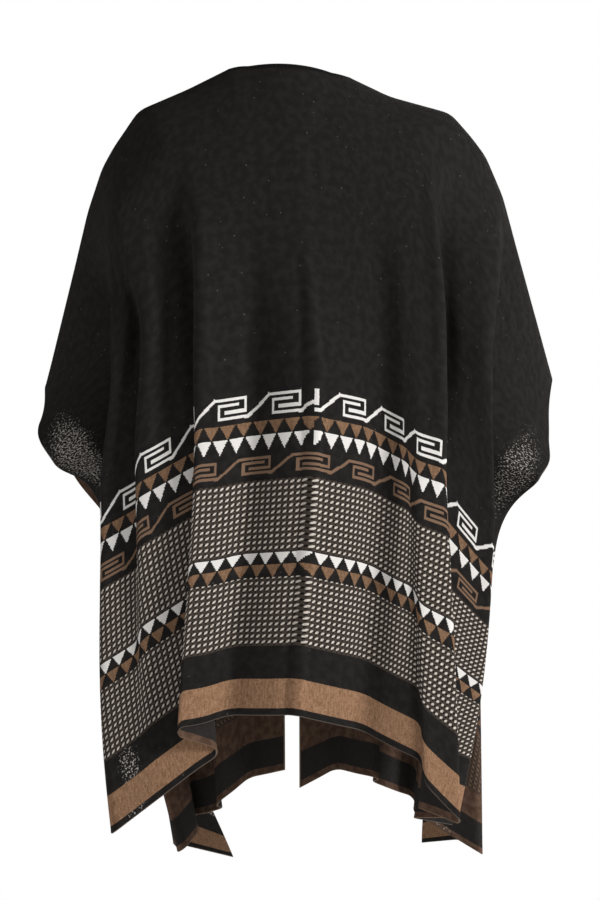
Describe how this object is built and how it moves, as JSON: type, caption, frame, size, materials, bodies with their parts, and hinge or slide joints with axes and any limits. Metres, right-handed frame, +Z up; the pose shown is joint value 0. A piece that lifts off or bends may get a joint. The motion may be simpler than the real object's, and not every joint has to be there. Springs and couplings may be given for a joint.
{
  "type": "andean poncho",
  "caption": "open-fronted knitted poncho held in its worn shape, with a deep patterned band of stepped scrolls, triangles and flecked knit above a banded hem",
  "frame": {"origin": "centre of the neck opening, level with the shoulder seams beside the neck", "axes": "+Z up, front towards -Y, wearer's left towards +X"},
  "size_m": [0.6859, 0.4888, 1.0882],
  "materials": {
    "back_knit": "brushed double-faced wool knit",
    "front_knit": "brushed double-faced wool knit"
  },
  "bodies": {
    "root": {"back": "back_knit", "front_left": "front_knit", "front_right": "front_knit"}
  },
  "joints": []
}
